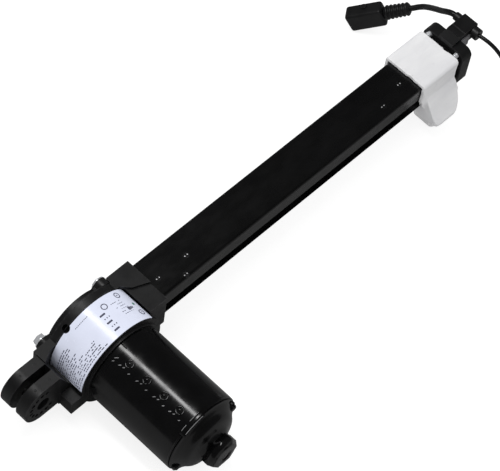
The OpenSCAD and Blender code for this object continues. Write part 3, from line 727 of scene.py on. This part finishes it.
# ---- carriage ----
def make_carriage():
    """The hood as one soft-edged moulding: evenly remeshed, smoothed and gently creased on the outside."""
    bm = cad_bmesh("carriage")
    mesh = to_mesh(bm, "carriage")
    piece = new_piece("carriage_hood", mesh, "white_nylon", "carriage", ["carriage"])
    remesh = piece.modifiers.new("remesh", "REMESH")
    remesh.mode = "VOXEL"
    remesh.voxel_size = 0.6 * MM
    smooth = piece.modifiers.new("smooth", "SMOOTH")
    smooth.factor = 0.5
    smooth.iterations = 6
    shaped = bpy.data.meshes.new_from_object(piece.evaluated_get(bpy.context.evaluated_depsgraph_get()))
    piece.modifiers.clear()
    piece.data = shaped
    lo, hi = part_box("rail")
    clear = 1.4 * MM
    front, rear = 392 * MM, 355 * MM
    for vertex in shaped.vertices:
        p = vertex.co
        wave = max(0.0, noise.noise(Vector((7, p.y * 190, p.z * 90)))) * 1.6 * MM
        if p.x > front - 1.5 * MM:
            p.x -= wave
        elif p.x < rear + 1.5 * MM:
            p.x += wave
        inside = lo.y - clear < p.y < hi.y + clear and lo.z - clear < p.z < hi.z + clear
        if inside or vertex.normal.length < 0.5:
            continue
        along = noise.noise(Vector((p.x * 28, p.y * 120, p.z * 120)))
        fine = noise.noise(Vector((p.x * 60, p.y * 260, p.z * 260 + 7)))
        vertex.co = p + vertex.normal * (0.32 * along + 0.1 * fine - 0.25) * MM
    for polygon in shaped.polygons:
        polygon.use_smooth = True


def make_carriage_parts():
    refined("drive_nut", 0.4, 2)
    refined("nut_pin", 0.15, 2)
    refined("front_lug_bush", 0.3, 2)


# ---- cable ends ----
PLUG_CENTRE = (401.2, 71.2, -15.5)
PLUG_TURN, PLUG_PITCH = 125.4, 30.7      # its heading in degrees, and how far its nose points down
PLUG_SIZE = (28.6, 12, 16.6)
RELIEF_END = 34.2                        # from the plug's centre back to the end of its strain relief


def plug_place(along, across, up):
    """A point at the plug: along its axis, across it and out of its upper face."""
    tilt = Matrix.Rotation(math.radians(PLUG_TURN), 3, "Z") @ Matrix.Rotation(math.radians(PLUG_PITCH), 3, "Y")
    return Vector(PLUG_CENTRE) + tilt @ Vector((along, across, up))


def make_plug_shell():
    """Rounded plug body with a recessed face round its contacts."""
    bm = bmesh.new()
    bmesh.ops.create_cube(bm, size=1)
    bmesh.ops.scale(bm, vec=PLUG_SIZE, verts=bm.verts)
    bmesh.ops.bevel(bm, geom=bm.edges[:], offset=2.3, segments=5, profile=0.5, affect="EDGES")
    nose = max(bm.faces, key=lambda face: face.calc_center_median().x)
    bmesh.ops.inset_individual(bm, faces=[nose], thickness=0.5)
    bmesh.ops.inset_individual(bm, faces=[nose], thickness=0.1)
    bmesh.ops.translate(bm, verts=nose.verts, vec=(-6, 0, 0))
    for vertex in bm.verts:
        vertex.co = plug_place(*vertex.co) * MM
    piece = new_piece("plug_shell", to_mesh(bm, "plug_shell"), SLOT_OF["plug_body"], replaced=["plug_body"])
    weigh_normals(piece)
    return piece


def make_plug():
    """Plug with a ribbed strain relief and a raised latch button."""
    axis = plug_place(1, 0, 0) - plug_place(0, 0, 0)
    start = plug_place(-RELIEF_END, 0, 0)
    profile = [(0, 2.3), (0, 3.4), (0.5, 4.1)]
    for k in range(6):
        foot, crest = 4.1, 5.1 + 0.08 * k
        begin = 1.0 + 3.1 * k
        profile += [(begin, foot), (begin + 0.25, crest - 0.25), (begin + 0.6, crest), (begin + 1.2, crest),
                    (begin + 1.55, crest - 0.25), (begin + 1.8, foot)]
    profile += [(19.2, 4.1), (19.9, 4.1)]
    bm = bmesh.new()
    add_revolved(bm, profile, start, axis, 48)
    relief = new_piece("plug_relief_ribs", to_mesh(bm, "plug_relief"), SLOT_OF["plug_relief"],
                       replaced=["plug_relief"])
    weigh_normals(relief)
    body = make_plug_shell()
    button = refined("plug_button", 0.3, 3, name="plug_latch_button")
    return [relief, body, button, NODES["plug_contacts"]]


def junction_details(bm):
    """Raised edge of the lid across the block's top."""
    add_swept_ring(bm, [(409.6, y, 32.45) for y in (-7, -3, 1, 4.7)], 0.32, 8, closed=False)


def make_junction():
    refined("cable_junction", 0.45, 3, name="junction_block", details=junction_details)
    refined("junction_clip", 0.2, 2, name="junction_steel_clip")
    refined("plug_side_collar", 0.5, 3)
    refined("lead_side_collar", 0.5, 3)


def make_lead_end():
    tie = refined("lead_tie", 0.25, 2, name="coil_tie")
    connector = refined("lead_connector", 0.5, 3, name="lead_end_connector")
    return [tie, connector]


make_gearbox()
make_label_print()
make_motor_can()
make_can_painted_glints()
make_end_bell()
make_rail()
make_spindle()
make_carriage()
make_carriage_parts()
make_junction()
plug_pieces = make_plug()
lead_pieces = make_lead_end()
refined("cover_gasket", 0.1, 1)

# Nodes that no piece stands for are shown as they are, in their own materials.
for node, piece in NODES.items():
    for place in piece.material_slots:
        place.material = MATERIALS[SLOT_OF[node]]


# ---- stage ----
def make_floor():
    bm = bmesh.new()
    bmesh.ops.create_grid(bm, x_segments=8, y_segments=8, size=4)
    bmesh.ops.translate(bm, verts=bm.verts, vec=(0.2, 0, (FLOOR_Z - 0.02) * MM))
    mesh = bpy.data.meshes.new("floor")
    bm.to_mesh(mesh)
    bm.free()
    mesh.materials.append(floor_material())
    piece = bpy.data.objects.new("floor", mesh)
    bpy.context.scene.collection.objects.link(piece)


def add_light(name, place, aim, size, power):
    """A rectangular lamp in metres and watts, aimed at a point."""
    data = bpy.data.lights.new(name, "AREA")
    data.shape = "RECTANGLE"
    data.size, data.size_y = size
    data.energy = power
    light = bpy.data.objects.new(name, data)
    light.location = place
    light.rotation_mode = "QUATERNION"
    light.rotation_quaternion = (Vector(place) - Vector(aim)).to_track_quat("Z", "Y")
    bpy.context.scene.collection.objects.link(light)


def make_world():
    """Even white light for diffuse surfaces, and a dark room in what glossy surfaces reflect."""
    world = bpy.data.worlds.new("studio")
    bpy.context.scene.world = world
    world.use_nodes = True
    tree = world.node_tree
    background = tree.nodes["Background"]
    background.inputs["Color"].default_value = (1, 1, 1, 1)
    dim = tree.nodes.new("ShaderNodeMapRange")
    dim.inputs["To Min"].default_value = 0.95
    dim.inputs["To Max"].default_value = 0.05
    tree.links.new(tree.nodes.new("ShaderNodeLightPath").outputs["Is Glossy Ray"], dim.inputs["Value"])
    tree.links.new(dim.outputs["Result"], background.inputs["Strength"])


make_floor()
make_world()
add_light("can_strip", place=(0.075, 0.33, 1.2), aim=(0.055, -0.06, 0.03), size=(0.16, 0.9), power=5.3)
bpy.context.scene.view_settings.view_transform = "Standard"
